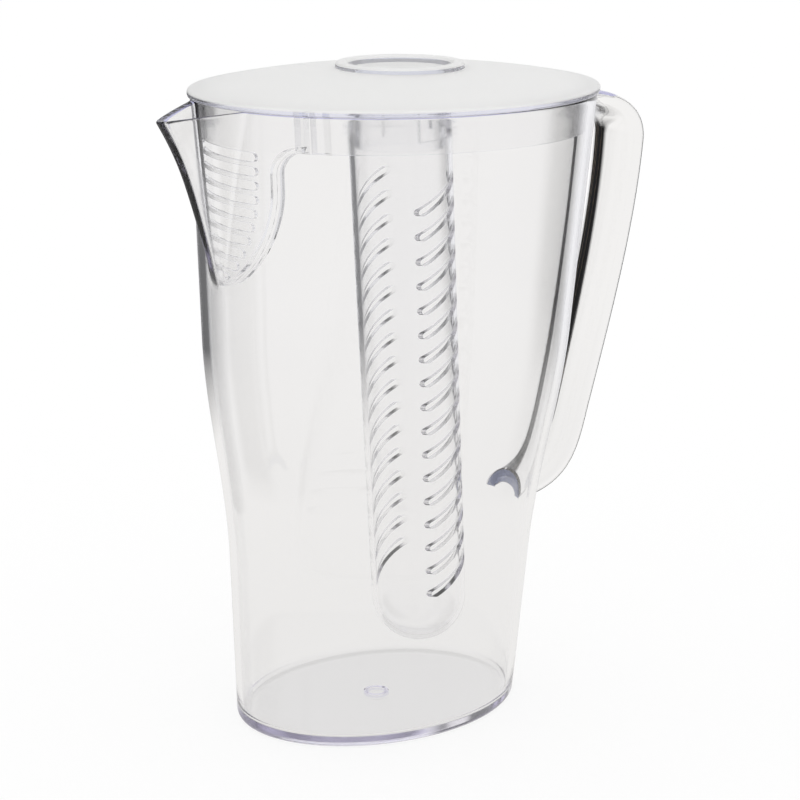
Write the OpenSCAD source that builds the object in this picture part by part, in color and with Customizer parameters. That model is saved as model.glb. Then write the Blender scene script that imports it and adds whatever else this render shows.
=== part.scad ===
// Fruit infuser pitcher: a clear jug with a strainer lid and a hanging infuser tube.
// Units are millimetres. +X points to the handle, -X to the spout, +Z up.
// The origin is the centre of the flat underside.

/* [Jug body] */
// Height of the rim above the table
rim_height = 250; // [180:1:300]
// Length of the oval base along X
base_length = 120; // [90:0.5:150]
// Width of the oval base along Y
base_width = 93; // [70:0.5:120]
// Length of the oval rim along X
rim_length = 161; // [130:0.5:200]
// Width of the oval rim along Y
rim_width = 146; // [110:0.5:180]
// How far the centre of the rim is moved towards the handle, seen from the centre of the base
rim_shift = 9.4; // [0:0.1:20]
// Height where the body starts to swell
swell_start = 66; // [40:1:90]
// Height where the swell is complete
swell_end = 156; // [120:1:200]
// Growth of each half length within the swell
swell_length = 7; // [0:0.1:12]
// Growth of each half width within the swell
swell_width = 5.4; // [0:0.1:12]
// Thickness of the wall
wall = 2.8; // [1.6:0.1:4]
// Thickness of the floor
floor_thickness = 4.2; // [2:0.1:8]
// Radius of the outer bottom corner
corner_radius = 4; // [1:0.5:10]

/* [Spout] */
// How far the lip stands out from the oval
spout_reach = 21.6; // [8:0.1:35]
// Width of the spout at the rim
spout_width = 37; // [20:0.5:60]
// Height of the spout, from the rim down to the end of its keel
spout_height = 68; // [30:1:110]
// How far the lip dips below the rim
spout_dip = 4.2; // [0:0.1:8]
// Width left where the keel ends
keel_width = 9; // [4:0.5:20]
// How much thicker the spout is at its tip than the wall
spout_tip_extra = 1.1; // [0:0.1:3]
// How much thicker the spout is at its sides than the wall
spout_side_extra = 0.8; // [0:0.1:2]

/* [Handle] */
// Depth below the rim where the strap edges leave it
handle_top_depth = 2.8; // [1.5:0.1:20]
// Height of the strap edges at the foot
handle_foot_height = 81; // [50:0.5:120]
// Distance from the origin to the outermost point of the strap, along X
handle_reach = 120.5; // [105:0.1:145]
// Depth of the outermost point below the rim
handle_shoulder_depth = 26; // [15:1:60]
// How far along the upper bend keeps level
handle_level = 9; // [4:0.5:20]
// How far the upper bend bulges past the outermost point
handle_bulge = 2.6; // [0:0.1:6]
// How far the pull of the upper bend stands over the outermost point
handle_upper_pull = 12; // [4:0.5:24]
// Lean of the grip from the vertical, in degrees
handle_lean = 14; // [0:0.5:25]
// Height where the grip ends and the lower bend starts
handle_grip_end = 112; // [90:1:140]
// How far the pull of the lower bend hangs below the grip
handle_lower_pull = 18; // [6:0.5:30]
// How far along the foot of the strap keeps level
handle_foot_level = 10; // [4:0.5:20]
// Width of the strap at the top
handle_top_width = 31.4; // [20:0.2:40]
// Width of the strap at the foot
handle_foot_width = 25; // [16:0.2:36]
// Depth of the arched section
handle_arch = 6; // [3.5:0.1:10]
// Thickness of the strap
handle_thickness = 3.2; // [2:0.1:5]

/* [Lid] */
// How far the lid stands out over the rim
lid_overhang = 1.2; // [0.4:0.1:3]
// Thickness of the lid at its edge
lid_edge = 2.4; // [1.6:0.1:4]
// Rounding of that edge
edge_round = 0.8; // [0.3:0.05:0.8]
// Width of the flat underside at the edge
lid_seat = 5.4; // [4.5:0.1:8]
// Gap under the lid where it rests on the rim
seat_gap = 0.05; // [0.02:0.01:0.1]
// Rise of the dome above that edge
dome_rise = 7.2; // [2:0.1:15]
// Thickness of the dome
lid_wall = 2.2; // [1.4:0.1:3.5]
// Depth of the skirt below the rim
skirt_depth = 13.6; // [6:0.1:20]
// Thickness of the skirt and the tongue
skirt_wall = 1.8; // [1.2:0.1:3]
// Gap between the skirt and the wall of the jug
skirt_gap = 0.4; // [0.3:0.05:1]
// Width of the two ribs on the skirt
rib_width = 3.6; // [2:0.1:6]
// How far each rib stands in from the skirt
rib_height = 2; // [1:0.1:4]
// Distance of each rib from the middle plane
rib_offset = 42.5; // [38:0.5:55]

/* [Strainer] */
// Width of the strainer tongue
tongue_width = 58; // [40:0.5:80]
// Depth of the tongue below the skirt
tongue_depth = 54; // [30:0.5:60]
// Straight stretch of its sides below the skirt
tongue_straight = 14.6; // [5:0.1:25]
// Radius of the two shoulders under the skirt
shoulder_radius = 9; // [3:0.5:14]
// Width of the raised edge of the tongue
bead_width = 2; // [1.2:0.1:4]
// How far the raised edge stands inwards
bead_height = 4.4; // [2.4:0.1:7]
// Number of pouring slots
pour_slots = 10; // [4:1:10]
// Height of each pouring slot
pour_slot_height = 3.6; // [1.5:0.1:3.8]
// Spacing of the pouring slots
pour_slot_pitch = 5.25; // [4.2:0.05:6]
// Depth of the first slot below the rim
pour_slot_first = 16.6; // [15:0.1:20]
// How strongly the slots' ends follow the tongue's outline
pour_slot_follow = 0.87; // [0.5:0.01:1]
// Distance of the slots' ends from that line
pour_slot_margin = 3; // [2:0.1:10]

/* [Lid centre] */
// Position of the infuser axis along X
infuser_x = 11.5; // [-5:0.1:25]
// Outer diameter of the raised ring
ring_diameter = 50; // [46:0.2:60]
// Diameter of the dished centre
dish_diameter = 40; // [30:0.2:45]
// Height of the ring above the dome
ring_height = 1.8; // [0.6:0.1:4]
// Rounding of the ring
ring_round = 1.6; // [0.6:0.1:2]
// Depth of the dished centre below the ring
dish_depth = 4.6; // [1:0.1:6]
// Wall of the collar under the lid
collar_wall = 2; // [1.4:0.1:3]
// Depth of the collar below the rim
collar_depth = 21; // [17:0.1:30]
// Bevel at the collar's lower edge
collar_bevel = 0.5; // [0.2:0.1:1]

/* [Infuser tube] */
// Outer diameter at the top
tube_top_diameter = 40.4; // [32:0.1:46]
// Outer diameter at the bottom
tube_bottom_diameter = 38.2; // [30:0.1:44]
// Wall of the tube
tube_wall = 2; // [1.4:0.1:3]
// Depth of the top of the tube below the rim
tube_top_depth = 10.5; // [8:0.1:16]
// Height of the tube's lowest point above the table
tube_clearance = 25; // [10:0.5:60]
// Number of slot levels
steep_slots = 17; // [6:1:20]
// Height of each slot
steep_slot_height = 3; // [1.5:0.1:4]
// Spacing of the slots
steep_slot_pitch = 9.72; // [7:0.01:11]
// Depth of the first slot's centre below the rim
steep_slot_first = 38.9; // [35:0.1:60]
// Slope of the slots, in degrees
steep_slot_slope = 28; // [0:1:40]
// Span of the slots across the tube
steep_slot_span = 24; // [12:0.1:30]
// Direction in which the slots are cut through, in degrees from +X
steep_slot_turn = -67.5; // [-180:0.5:180]
// Lean of the hanging tube within the play of its lugs, in degrees
tube_lean = 2.3; // [0:0.1:2.5]

/* [Bayonet] */
// Direction of the first lug, in degrees from +X
lug_turn = -32; // [-180:1:180]
// Turn between the locked and the free position, in degrees
bayonet_turn = 60; // [20:1:75]
// Width of each lug around the collar
lug_width = 4.2; // [2.5:0.1:6]
// Height of each lug
lug_height = 2.4; // [1.5:0.1:3.5]
// How far each lug stands out from the tube
lug_reach = 1.8; // [0.5:0.1:3]
// Depth of the lugs' middle below the top of the tube
lug_depth = 4.6; // [4:0.1:6]
// Gap beside the lugs
bayonet_gap = 0.5; // [0.3:0.05:0.8]
// Play above and below the lugs
lug_play = 1.2; // [1.2:0.05:1.4]
// Gap between collar and tube
collar_gap = 0.6; // [0.55:0.05:1]

/* [Hidden] */
bottom_steps = 16;
// How far joined shapes reach into each other, in the wall's direction and along it
sink = 0.12;
edge_sink = 0.15;
// Shape of the curves: the dome, the tongue's end and how sharp the keel is
dome_curve = 2.3;
tongue_curve = 1.8;
keel_round = 0.06;
// Share of the spout's reach that comes with the curl of its lip
lip_share = 0.14;
lip_curl = 5;
// How far the strap reaches into the wall at the rim and at the foot
strap_root = 5;
strap_foot_root = 1;
clear_plastic = [0.88, 0.90, 0.93, 0.45];
frosted_plastic = [0.86, 0.87, 0.86, 0.75];

dome_top = rim_height + lid_edge + dome_rise;
ring_top = dome_top + ring_height;
tube_top = rim_height - tube_top_depth;
tube_round = tube_bottom_diameter / 2;
tube_bore = tube_top_diameter / 2 - tube_wall;
collar_radius = tube_bore - collar_gap;
collar_bottom = rim_height - collar_depth;
lug_z = tube_top - lug_depth;
skirt_bottom = rim_height - skirt_depth;
tongue_bottom = skirt_bottom - tongue_depth;
tongue_round = skirt_bottom - min(tongue_straight, tongue_depth / 2);

// Smooth step from 0 to 1 between a and b
function ramp(a, b, x) = let(s = min(1, max(0, (x - a) / (b - a)))) s * s * (3 - 2 * s);
function mix(a, b, s) = a + (b - a) * s;

// Half length, half width and centre of the outer oval at height z
function half_length(z) = mix(base_length / 2, rim_length / 2 - swell_length, z / rim_height)
    + swell_length * ramp(swell_start, swell_end, z);
function half_width(z) = mix(base_width / 2, rim_width / 2 - swell_width, z / rim_height)
    + swell_width * ramp(swell_start, swell_end, z);
function centre_x(z) = rim_shift * z / rim_height;
function round_in(z, r) = z >= r ? 0 : r - sqrt(max(0, r * r - (r - z) * (r - z)));

// Spout: share of the full reach at height z, and share across the width at y
function spout_share(z) = let(s = min(1, max(0, (z - rim_height + spout_height) / spout_height)))
    (1 - lip_share) * s + lip_share * pow(s, lip_curl);
function spout_half(z, inside) = mix(keel_width / 2, spout_width / 2,
    min(1, max(0, (z - rim_height + spout_height) / spout_height))) - inside * spout_side_extra;
function spout_across(y, z, inside) = let(s = max(0, 1 - abs(y) / spout_half(z, inside)))
    s * s / (s + keel_round) * (1 + keel_round);

// Angles around the oval, closer together at the spout
oval_steps = 32;
spout_angles = [0, 0.8, 1.8, 3.2, 5, 7, 9, 11.5, 14.5, 18.5, 23.5];
angles = concat(
    [for (k = [0:oval_steps - 1]) let(a = k * 360 / oval_steps) if (abs(a - 180) > 27) a],
    [for (k = [len(spout_angles) - 1:-1:0]) 180 - spout_angles[k]],
    [for (k = [1:len(spout_angles) - 1]) 180 + spout_angles[k]]);
function sorted(v) = len(v) <= 1 ? v : let(p = v[floor(len(v) / 2)])
    concat(sorted([for (x = v) if (x < p) x]), [for (x = v) if (x == p) x], sorted([for (x = v) if (x > p) x]));
around = sorted(angles);

// One oval ring at height z, moved in by inset; spout is -1 for none, 0 for its outside, 1 for its inside
function ring(z, inset, spout) = [for (a = around)
    let(y = (half_width(z) - inset) * sin(a),
        x = centre_x(z) + (half_length(z) - inset) * cos(a),
        s = spout < 0 || cos(a) > 0 ? 0 : spout_across(y, z, spout))
    [x - s * spout_share(z) * (spout_reach - spout * spout_tip_extra),
     y,
     z - s * spout_dip * ramp(rim_height - spout_height / 2, rim_height, z)]];

// Solid through a stack of rings
module stack(rings) {
    n = len(rings[0]);
    m = len(rings);
    points = concat([for (r = rings) each r],
        [[for (c = [0:2]) (c == 2 ? rings[0][0][2] : (rings[0][0][c] + rings[0][floor(n / 2)][c]) / 2)],
         [for (c = [0:2]) (c == 2 ? rings[m - 1][0][2] : (rings[m - 1][0][c] + rings[m - 1][floor(n / 2)][c]) / 2)]]);
    sides = [for (i = [0:m - 2]) for (k = [0:n - 1]) let(l = (k + 1) % n)
        each [[i * n + k, (i + 1) * n + l, i * n + l], [i * n + k, (i + 1) * n + k, (i + 1) * n + l]]];
    caps = [for (k = [0:n - 1]) let(l = (k + 1) % n)
        each [[n * m, k, l], [n * m + 1, (m - 1) * n + l, (m - 1) * n + k]]];
    polyhedron(points, concat(sides, caps), convexity = 8);
}

body_levels = [for (s = [0.045, 0.12, 0.2, 0.27, 0.33, 0.39, 0.45, 0.51, 0.57, 0.63]) s * rim_height];
spout_levels = [for (s = [0:9]) mix(rim_height - spout_height - 2, rim_height, s / 9)];
corner_levels = [0, 0.12, 0.4, 1];
inner_corner = max(0.6, corner_radius - wall / 2);
outer_rings = concat(
    [for (s = corner_levels) let(z = s * corner_radius) ring(z, round_in(z, corner_radius), -1)],
    [for (z = body_levels) if (z > corner_radius * 1.5 && z < spout_levels[0] - 4) ring(z, 0, -1)],
    [for (z = spout_levels) ring(z, 0, 0)]);
inner_rings = concat(
    [for (s = corner_levels) let(z = s * inner_corner) ring(floor_thickness + z, wall + round_in(z, inner_corner), -1)],
    [for (z = body_levels) if (z > floor_thickness + inner_corner * 1.5 && z < spout_levels[0] - 4) ring(z, wall, -1)],
    [for (z = spout_levels) ring(z, wall, 1)]);

module shell() {
    stack(concat(outer_rings, [for (k = [len(inner_rings) - 1:-1:0]) inner_rings[k]]));
}

// Solid that ends halfway through the wall, made of one hull between each pair of ovals
core_levels = [for (k = [0:12]) mix(floor_thickness + 10, rim_height + 6, k / 12)];
module core() {
    for (k = [0:len(core_levels) - 2])
        hull() stack([ring(core_levels[k], wall / 2, -1), ring(core_levels[k + 1], wall / 2, -1)]);
}

// Path of the strap edges in the middle plane, as [x, z, direction]
function bezier(p, s) = let(u = 1 - s)
    u * u * u * p[0] + 3 * u * u * s * p[1] + 3 * u * s * s * p[2] + s * s * s * p[3];
function bezier_way(p, s) = let(u = 1 - s)
    3 * u * u * (p[1] - p[0]) + 6 * u * s * (p[2] - p[1]) + 3 * s * s * (p[3] - p[2]);
handle_top_height = rim_height - handle_top_depth;
handle_shoulder_height = rim_height - handle_shoulder_depth;
grip_drop = handle_shoulder_height - handle_grip_end;
grip_foot_x = handle_reach - grip_drop * tan(handle_lean);
rim_start_x = rim_shift + rim_length / 2 - wall - strap_root;
foot_end_x = centre_x(handle_foot_height) + half_length(handle_foot_height) - wall - strap_foot_root;
upper_bend = [[rim_start_x, handle_top_height], [handle_reach - handle_level, handle_top_height - 0.6],
    [handle_reach + handle_bulge, handle_shoulder_height + handle_upper_pull], [handle_reach, handle_shoulder_height]];
lower_bend = [[grip_foot_x, handle_grip_end],
    [grip_foot_x - handle_lower_pull * tan(handle_lean), handle_grip_end - handle_lower_pull],
    [grip_foot_x - handle_foot_level, handle_foot_height + 4], [foot_end_x, handle_foot_height - 1]];
stations = concat(
    [for (s = [0, 0.2, 0.36, 0.5, 0.62, 0.73, 0.83, 0.92]) [bezier(upper_bend, s), bezier_way(upper_bend, s), 0]],
    [for (s = [0, 0.5, 1]) [mix(upper_bend[3], lower_bend[0], s), lower_bend[0] - upper_bend[3], s]],
    [for (s = [0.14, 0.28, 0.42, 0.56, 0.7, 0.84, 1]) [bezier(lower_bend, s), bezier_way(lower_bend, s), 1]]);

arch_cells = 10;
arch_angles = [for (k = [0:arch_cells]) -90 + k * 180 / arch_cells];
// Section of the strap as [side, towards the body]: along the arch and back along its hollow
function strap_section(half) = concat(
    [for (a = arch_angles) [half * sin(a), handle_arch * cos(a)]],
    [for (k = [arch_cells:-1:0]) let(a = arch_angles[k])
        [(half - handle_thickness) * sin(a), (handle_arch - handle_thickness) * cos(a)]]);
function strap_ring(station) = let(
    way = station[1] / norm(station[1]),
    inward = [way[1], -way[0]] * (way[0] > 0 || way[1] < 0 ? -1 : 1),
    half = mix(handle_top_width, handle_foot_width, station[2]) / 2)
    [for (p = strap_section(half))
        [station[0][0] + (-way[1]) * -p[1], p[0], station[0][1] + way[0] * -p[1]]];

module strap() {
    rings = [for (s = stations) strap_ring(s)];
    n = len(rings[0]);
    m = len(rings);
    sides = [for (i = [0:m - 2]) for (k = [0:n - 1]) let(l = (k + 1) % n)
        each [[i * n + k, (i + 1) * n + l, i * n + l], [i * n + k, (i + 1) * n + k, (i + 1) * n + l]]];
    caps = [for (c = [0:arch_cells - 1]) let(d = n - 1 - c, e = (m - 1) * n)
        each [[c, c + 1, d], [c + 1, d - 1, d], [e + c, e + d, e + c + 1], [e + c + 1, e + d, e + d - 1]]];
    polyhedron([for (r = rings) each r], concat(sides, caps), convexity = 8);
}

module jug() {
    color(clear_plastic)
        union() {
            shell();
            difference() {
                strap();
                core();
            }
        }
}

// Half width of the tongue at height z
function tongue_half(z) = z >= tongue_round ? tongue_width / 2
    : let(s = min(1, (tongue_round - z) / (tongue_round - tongue_bottom)))
        tongue_width / 2 * pow(max(0, 1 - pow(s, tongue_curve)), 1 / tongue_curve);

tongue_heights = [for (s = [0, 0.12, 0.25, 0.38, 0.5, 0.62, 0.73, 0.83, 0.91, 0.96, 0.99, 1])
    mix(tongue_round, tongue_bottom, s)];

// Outline of the tongue, seen along X, as [y, z]
module tongue_outline() {
    offset(r = -shoulder_radius) offset(delta = shoulder_radius)
        union() {
            polygon(concat(
                [[-tongue_width / 2, skirt_bottom + 20], [tongue_width / 2, skirt_bottom + 20]],
                [for (z = tongue_heights) [tongue_half(z), z]],
                [for (k = [len(tongue_heights) - 2:-1:0]) [-tongue_half(tongue_heights[k]), tongue_heights[k]]]));
            translate([-rim_width, skirt_bottom + 2 * edge_sink]) square([2 * rim_width, skirt_depth]);
        }
}

// Solid that follows the inner wall of the jug, without the spout
module wall_follower(inset, low, high) {
    stack([for (s = [0, 0.25, 0.5, 0.75, 1]) ring(mix(low, high, s), wall + skirt_gap + inset, -1)]);
}

module along_x(near, far) {
    translate([near, 0, 0])
        rotate([90, 0, 90])
            linear_extrude(far - near)
                children();
}

// Shell between two distances from the wall of the jug
module apron(near, far) {
    difference() {
        wall_follower(near, tongue_bottom - 1, rim_height + 1.6);
        wall_follower(far, tongue_bottom - 2, rim_height + 3);
    }
}

module slots() {
    for (k = [0:pour_slots - 1]) {
        z = rim_height - pour_slot_first - k * pour_slot_pitch;
        half = max(pour_slot_height, pour_slot_follow * tongue_half(z) - pour_slot_margin) - pour_slot_height / 2;
        along_x(-rim_length, 0)
            hull() {
                translate([-half, z]) circle(d = pour_slot_height, $fn = 10);
                translate([half, z]) circle(d = pour_slot_height, $fn = 10);
            }
    }
}

module skirt() {
    difference() {
        wall_follower(0, skirt_bottom, rim_height + 1.2);
        wall_follower(skirt_wall, skirt_bottom - 1, rim_height + 2);
    }
}

module tongue() {
    difference() {
        intersection() {
            apron(sink, skirt_wall - sink);
            along_x(-rim_length, -1)
                intersection() {
                    tongue_outline();
                    translate([-rim_width, 0]) square([2 * rim_width, skirt_bottom + 5]);
                }
        }
        slots();
    }
}

// Area of the tongue up to the lid, without the skirt beside it
module tongue_area(inset) {
    offset(delta = -inset)
        intersection() {
            tongue_outline();
            translate([-tongue_width / 2 - shoulder_radius, 0])
                square([tongue_width + 2 * shoulder_radius, rim_height + 20]);
        }
}

module raised_edge() {
    intersection() {
        apron(skirt_wall / 2, bead_height);
        along_x(-rim_length, -tongue_width / 4)
            difference() {
                tongue_area(edge_sink);
                tongue_area(edge_sink + bead_width);
            }
    }
}

module rib(side) {
    intersection() {
        apron(skirt_wall / 2, skirt_wall + rib_height);
        along_x(-rim_length, -tongue_width / 4)
            translate([side * rib_offset - rib_width / 2, skirt_bottom + edge_sink]) square([rib_width, skirt_depth + 1]);
    }
}

// Top and underside of the dome, as a share of the half length
dome_shares = [0.985, 0.95, 0.88, 0.78, 0.66, 0.52, 0.36];
function dome_height(s) = dome_rise * (1 - pow(s, dome_curve));

module dome() {
    big = rim_length / 2 + lid_overhang;
    corner = edge_round * (1 - cos(45));
    translate([rim_shift, 0, rim_height])
        scale([1, (rim_width / 2 + lid_overhang) / big, 1])
            rotate_extrude($fn = 54)
                difference() {
                    polygon(concat([[0, seat_gap], [big - edge_round, seat_gap], [big - corner, seat_gap + corner],
                        [big, edge_round], [big, lid_edge - edge_round], [big - corner, lid_edge - corner]],
                        [for (s = dome_shares) [s * big, lid_edge + dome_height(s)]],
                        [[0, lid_edge + dome_rise]]));
                    polygon(concat([[-1, -1], [big - lid_seat, -1]],
                        [for (s = dome_shares) if (s * big < big - lid_seat) [s * big, max(0, lid_edge + dome_height(s) - lid_wall)]],
                        [[-1, lid_edge + dome_rise - lid_wall]]));
                }
}

module centre() {
    outer = ring_diameter / 2;
    dish = dish_diameter / 2;
    dish_floor = ring_top - dish_depth;
    translate([infuser_x, 0, 0])
        rotate_extrude($fn = 48) {
            // raised ring and dished centre
            polygon([[0, dish_floor - lid_wall], [dish + ring_round / 2, dish_floor - lid_wall],
                [outer, dome_top - lid_wall], [outer, dome_top - ring_round / 4],
                [outer - ring_round / 3, ring_top - ring_round / 3], [outer - ring_round, ring_top],
                [dish + ring_round, ring_top], [dish + ring_round / 4, ring_top - ring_round / 2],
                [dish - ring_round / 2, dish_floor + ring_round / 2], [dish - ring_round * 1.5, dish_floor],
                [0, dish_floor]]);
            // collar that carries the tube
            polygon([[collar_radius - collar_wall, collar_bottom], [collar_radius - collar_bevel, collar_bottom],
                [collar_radius, collar_bottom + collar_bevel], [collar_radius, dish_floor - lid_wall / 2],
                [collar_radius - collar_wall, dish_floor - lid_wall / 2]]);
        }
}

// Hangs what was drawn about the Z axis on the lugs, turned and leaning
module hanging() {
    translate([infuser_x, 0, lug_z])
        rotate([0, 0, lug_turn])
            rotate([0, -tube_lean, 0])
                translate([0, 0, -lug_z])
                    children();
}

module lug(turn) {
    translate([infuser_x, 0, lug_z])
        rotate([0, 0, turn])
            translate([collar_radius - collar_wall / 2, -lug_width / 2, -lug_height / 2])
                cube([tube_top_diameter / 2 + lug_reach - collar_radius + collar_wall / 2, lug_width, lug_height]);
}

module lid() {
    color(frosted_plastic)
        union() {
            difference() {
                dome();
                translate([infuser_x, 0, rim_height + 1])
                    cylinder(d = ring_diameter - ring_round, h = dome_top, $fn = 48);
            }
            centre();
            skirt();
            tongue();
            raised_edge();
            rib(-1);
            rib(1);
            lug(lug_turn);
            lug(lug_turn + 180);
        }
}

// Slanted slot with round ends, cut right through both sides of the tube
module steep_slot(z) {
    half = (steep_slot_span - steep_slot_height) / 2 / cos(steep_slot_slope);
    rotate([0, 0, steep_slot_turn - lug_turn])
        translate([0, 0, z])
            rotate([90, 0, 90])
                rotate([0, 0, steep_slot_slope])
                    linear_extrude(2 * tube_top_diameter, center = true)
                        union() {
                            translate([-half, -steep_slot_height / 2]) square([2 * half, steep_slot_height]);
                            translate([-half, 0]) circle(d = steep_slot_height, $fn = 24);
                            translate([half, 0]) circle(d = steep_slot_height, $fn = 24);
                        }
}

// L-shaped way for a lug: in from the top, then around
module bayonet_way(turn) {
    way_height = lug_height + 2 * lug_play;
    way_width = lug_width + 2 * bayonet_gap;
    low = lug_z - way_height / 2;
    reach = tube_top_diameter;
    rotate([0, 0, turn]) {
        rotate([0, 0, -bayonet_turn])
            translate([0, 0, low])
                rotate_extrude(angle = bayonet_turn)
                    square([reach, way_height]);
        translate([0, -way_width / 2, low])
            cube([reach, way_width, way_height]);
        rotate([0, 0, -bayonet_turn])
            translate([0, -way_width / 2, low])
                cube([reach, way_width, lug_depth + way_height]);
    }
}

// Half profile of the tube's outside or inside, with its round bottom as an arc
module tube_profile(inset, top) {
    round_z = tube_clearance + tube_round;
    low = tube_round - inset;
    polygon(concat([[0, top], [0, tube_clearance + inset]],
        [for (k = [1:bottom_steps]) let(a = 90 * k / bottom_steps) [low * sin(a), round_z - low * cos(a)]],
        [[tube_top_diameter / 2 - inset, top]]));
}

module infuser_tube() {
    color(clear_plastic)
        hanging()
            difference() {
                rotate([0, 0, 90]) rotate_extrude($fn = 72) tube_profile(0, tube_top);
                rotate([0, 0, 90]) rotate_extrude($fn = 72) tube_profile(tube_wall, tube_top + 1);
                for (k = [0:steep_slots - 1])
                    steep_slot(rim_height - steep_slot_first - k * steep_slot_pitch);
                bayonet_way(0);
                bayonet_way(180);
            }
}

jug();
lid();
infuser_tube();
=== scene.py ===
import math
import bmesh
import bpy
import numpy as np
from mathutils import Matrix, Vector


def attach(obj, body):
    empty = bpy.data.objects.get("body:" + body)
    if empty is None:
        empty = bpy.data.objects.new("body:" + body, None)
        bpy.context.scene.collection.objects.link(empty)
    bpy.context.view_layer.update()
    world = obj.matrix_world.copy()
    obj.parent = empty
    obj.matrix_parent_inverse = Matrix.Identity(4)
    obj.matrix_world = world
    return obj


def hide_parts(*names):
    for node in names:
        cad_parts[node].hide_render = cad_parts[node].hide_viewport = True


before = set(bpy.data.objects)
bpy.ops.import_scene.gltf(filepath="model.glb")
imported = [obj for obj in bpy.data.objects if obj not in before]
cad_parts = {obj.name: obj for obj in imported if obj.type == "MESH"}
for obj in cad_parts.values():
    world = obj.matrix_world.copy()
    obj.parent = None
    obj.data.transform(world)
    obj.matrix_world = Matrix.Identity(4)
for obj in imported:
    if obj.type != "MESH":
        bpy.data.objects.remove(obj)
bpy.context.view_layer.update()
print("frame loaded")

mm = 0.001
overcut = 1.0  # how far a cutter stands past what it cuts


# small helpers for meshes, all in millimetres until a mesh is made

def lerp(a, b, s):
    return a + (b - a) * s


def easeStep(a, b, x):
    s = np.clip((x - a) / (b - a), 0, 1)
    return s * s * (3 - 2 * s)


def makePiece(name, points, faces):
    mesh = bpy.data.meshes.new(name)
    mesh.from_pydata([tuple(p) for p in np.asarray(points) * mm], [], faces)
    mesh.validate()
    piece = bpy.data.objects.new(name, mesh)
    bpy.context.scene.collection.objects.link(piece)
    return piece


def pointOutwards(piece):
    shape = bmesh.new()
    shape.from_mesh(piece.data)
    bmesh.ops.remove_doubles(shape, verts=shape.verts, dist=1e-7)
    bmesh.ops.recalc_face_normals(shape, faces=shape.faces)
    shape.to_mesh(piece.data)
    shape.free()


def stackRings(name, rings):
    # a closed solid through a list of rings with the same number of points
    count = len(rings[0])
    points = np.concatenate(rings + [rings[0].mean(0)[None], rings[-1].mean(0)[None]])
    faces = []
    for i in range(len(rings) - 1):
        for k in range(count):
            n = (k + 1) % count
            faces.append((i * count + k, i * count + n, (i + 1) * count + n, (i + 1) * count + k))
    low, high, top = len(points) - 2, len(points) - 1, (len(rings) - 1) * count
    for k in range(count):
        n = (k + 1) % count
        faces += [(low, n, k), (high, top + k, top + n)]
    piece = makePiece(name, points, faces)
    pointOutwards(piece)
    return piece


def prismAlong(name, outline, near, far, axis):
    # a closed outline, pushed along X from [y, z] or along Z from [x, y]
    flat = np.asarray(outline, float)
    rings = []
    for d in (near, far):
        column = np.full((len(flat), 1), d)
        rings.append(np.hstack([column, flat]) if axis == "X" else np.hstack([flat, column]))
    count = len(flat)
    faces = [tuple(range(count))[::-1], tuple(range(count, 2 * count))]
    faces += [(k, (k + 1) % count, count + (k + 1) % count, count + k) for k in range(count)]
    piece = makePiece(name, np.concatenate(rings), faces)
    pointOutwards(piece)
    return piece


def combine(piece, other, operation):
    # joins, cuts or intersects, and uses the other piece up
    step = piece.modifiers.new("combine", "BOOLEAN")
    step.operation, step.solver, step.object = operation, "MANIFOLD", other
    mesh = bpy.data.meshes.new_from_object(piece.evaluated_get(bpy.context.evaluated_depsgraph_get()))
    piece.modifiers.remove(step)
    piece.data = mesh
    bpy.data.objects.remove(other)
    return piece


def bendCorners(points, radii, steps=5):
    # rounds the corners of an open profile
    rounded = []
    for k, (p, r) in enumerate(zip(points, radii)):
        if not r:
            rounded.append(tuple(p))
            continue
        p = Vector(p)
        before = (Vector(points[k - 1]) - p).normalized() * r + p
        after = (Vector(points[k + 1]) - p).normalized() * r + p
        for i in range(steps + 1):
            s = i / steps
            rounded.append(tuple((1 - s) ** 2 * before + 2 * s * (1 - s) * p + s * s * after))
    return rounded


def shadeSoft(piece, angle):
    piece.data.shade_smooth()
    piece.data.set_sharp_from_angle(angle=math.radians(angle))


# node sums written as plain arithmetic

class Wire:
    def __init__(self, graph, socket):
        self.graph, self.socket = graph, socket

    def sums(self, operation, other=0.0, swapped=False):
        pair = {0: other, 1: self} if swapped else {0: self, 1: other}
        return self.graph.add("ShaderNodeMath", {"operation": operation}, pair)

    def only(self, operation):
        return self.graph.add("ShaderNodeMath", {"operation": operation}, {0: self})

    def __add__(self, other):
        return self.sums("ADD", other)

    def __sub__(self, other):
        return self.sums("SUBTRACT", other)

    def __rsub__(self, other):
        return self.sums("SUBTRACT", other, True)

    def __mul__(self, other):
        return self.sums("MULTIPLY", other)

    def __truediv__(self, other):
        return self.sums("DIVIDE", other)

    def __rtruediv__(self, other):
        return self.sums("DIVIDE", other, True)

    def __pow__(self, other):
        return self.sums("POWER", other)

    def __gt__(self, other):
        return self.sums("GREATER_THAN", other)

    def __lt__(self, other):
        return self.sums("LESS_THAN", other)

    __radd__, __rmul__ = __add__, __mul__

    def out(self, name):
        return Wire(self.graph, self.socket.node.outputs[name])

    def clamped(self):
        self.socket.node.use_clamp = True
        return self


class Graph:
    def __init__(self, tree):
        self.tree = tree

    def add(self, kind, settings=None, values=None, out=0):
        node = self.tree.nodes.new(kind)
        for name, value in (settings or {}).items():
            if name == "stops":
                ramp = node.color_ramp.elements
                for k, (place, colour) in enumerate(value):
                    stop = ramp[k] if k < 2 else ramp.new(place)
                    stop.position, stop.color = place, colour
            else:
                setattr(node, name, value)
        for name, value in (values or {}).items():
            self.plug(node.inputs[name], value)
        return Wire(self, node.outputs[out] if len(node.outputs) else None)

    def plug(self, socket, value):
        if isinstance(value, Wire):
            self.tree.links.new(value.socket, socket)
        else:
            socket.default_value = value


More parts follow.
